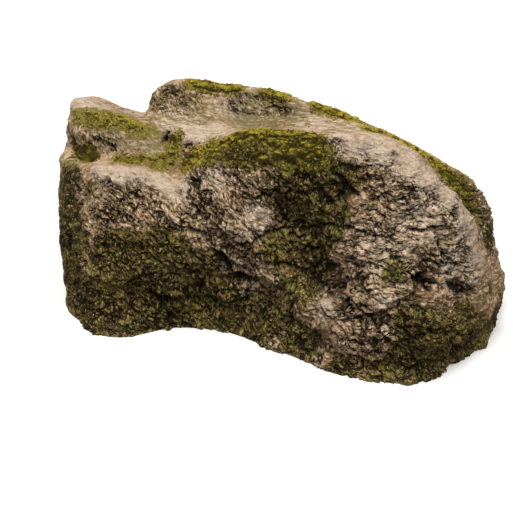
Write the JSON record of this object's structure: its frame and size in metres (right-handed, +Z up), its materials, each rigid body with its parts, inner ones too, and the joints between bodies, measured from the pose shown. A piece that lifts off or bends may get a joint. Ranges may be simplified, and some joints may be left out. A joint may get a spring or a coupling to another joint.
{
  "type": "mossy boulder",
  "caption": "Free-standing weathered granite boulder with a flat base to rest on, a stepped horn at one end, a long sloping back and low cushions of moss on its upper edges.",
  "frame": {"origin": "middle of the bounding box, on the flat base", "axes": "+X along the boulder's length from the horn to the low shoulder, -Y towards its broad front face, +Z up"},
  "size_m": [2.5828, 1.3578, 1.2504],
  "materials": {
    "weathered_granite": "coarse crumbling grain, matte, stained dark by algae in the pits",
    "living_moss": "short olive-green shoots, matte and soft"
  },
  "bodies": {
    "root": {"boulder": "weathered_granite", "moss_centre_ridge": "living_moss", "moss_horn_brow": "living_moss", "moss_horn_foot": "living_moss", "moss_gutter": "living_moss", "moss_back_left": "living_moss", "moss_back_middle": "living_moss", "moss_back_right": "living_moss", "moss_shoulder": "living_moss"}
  },
  "joints": []
}
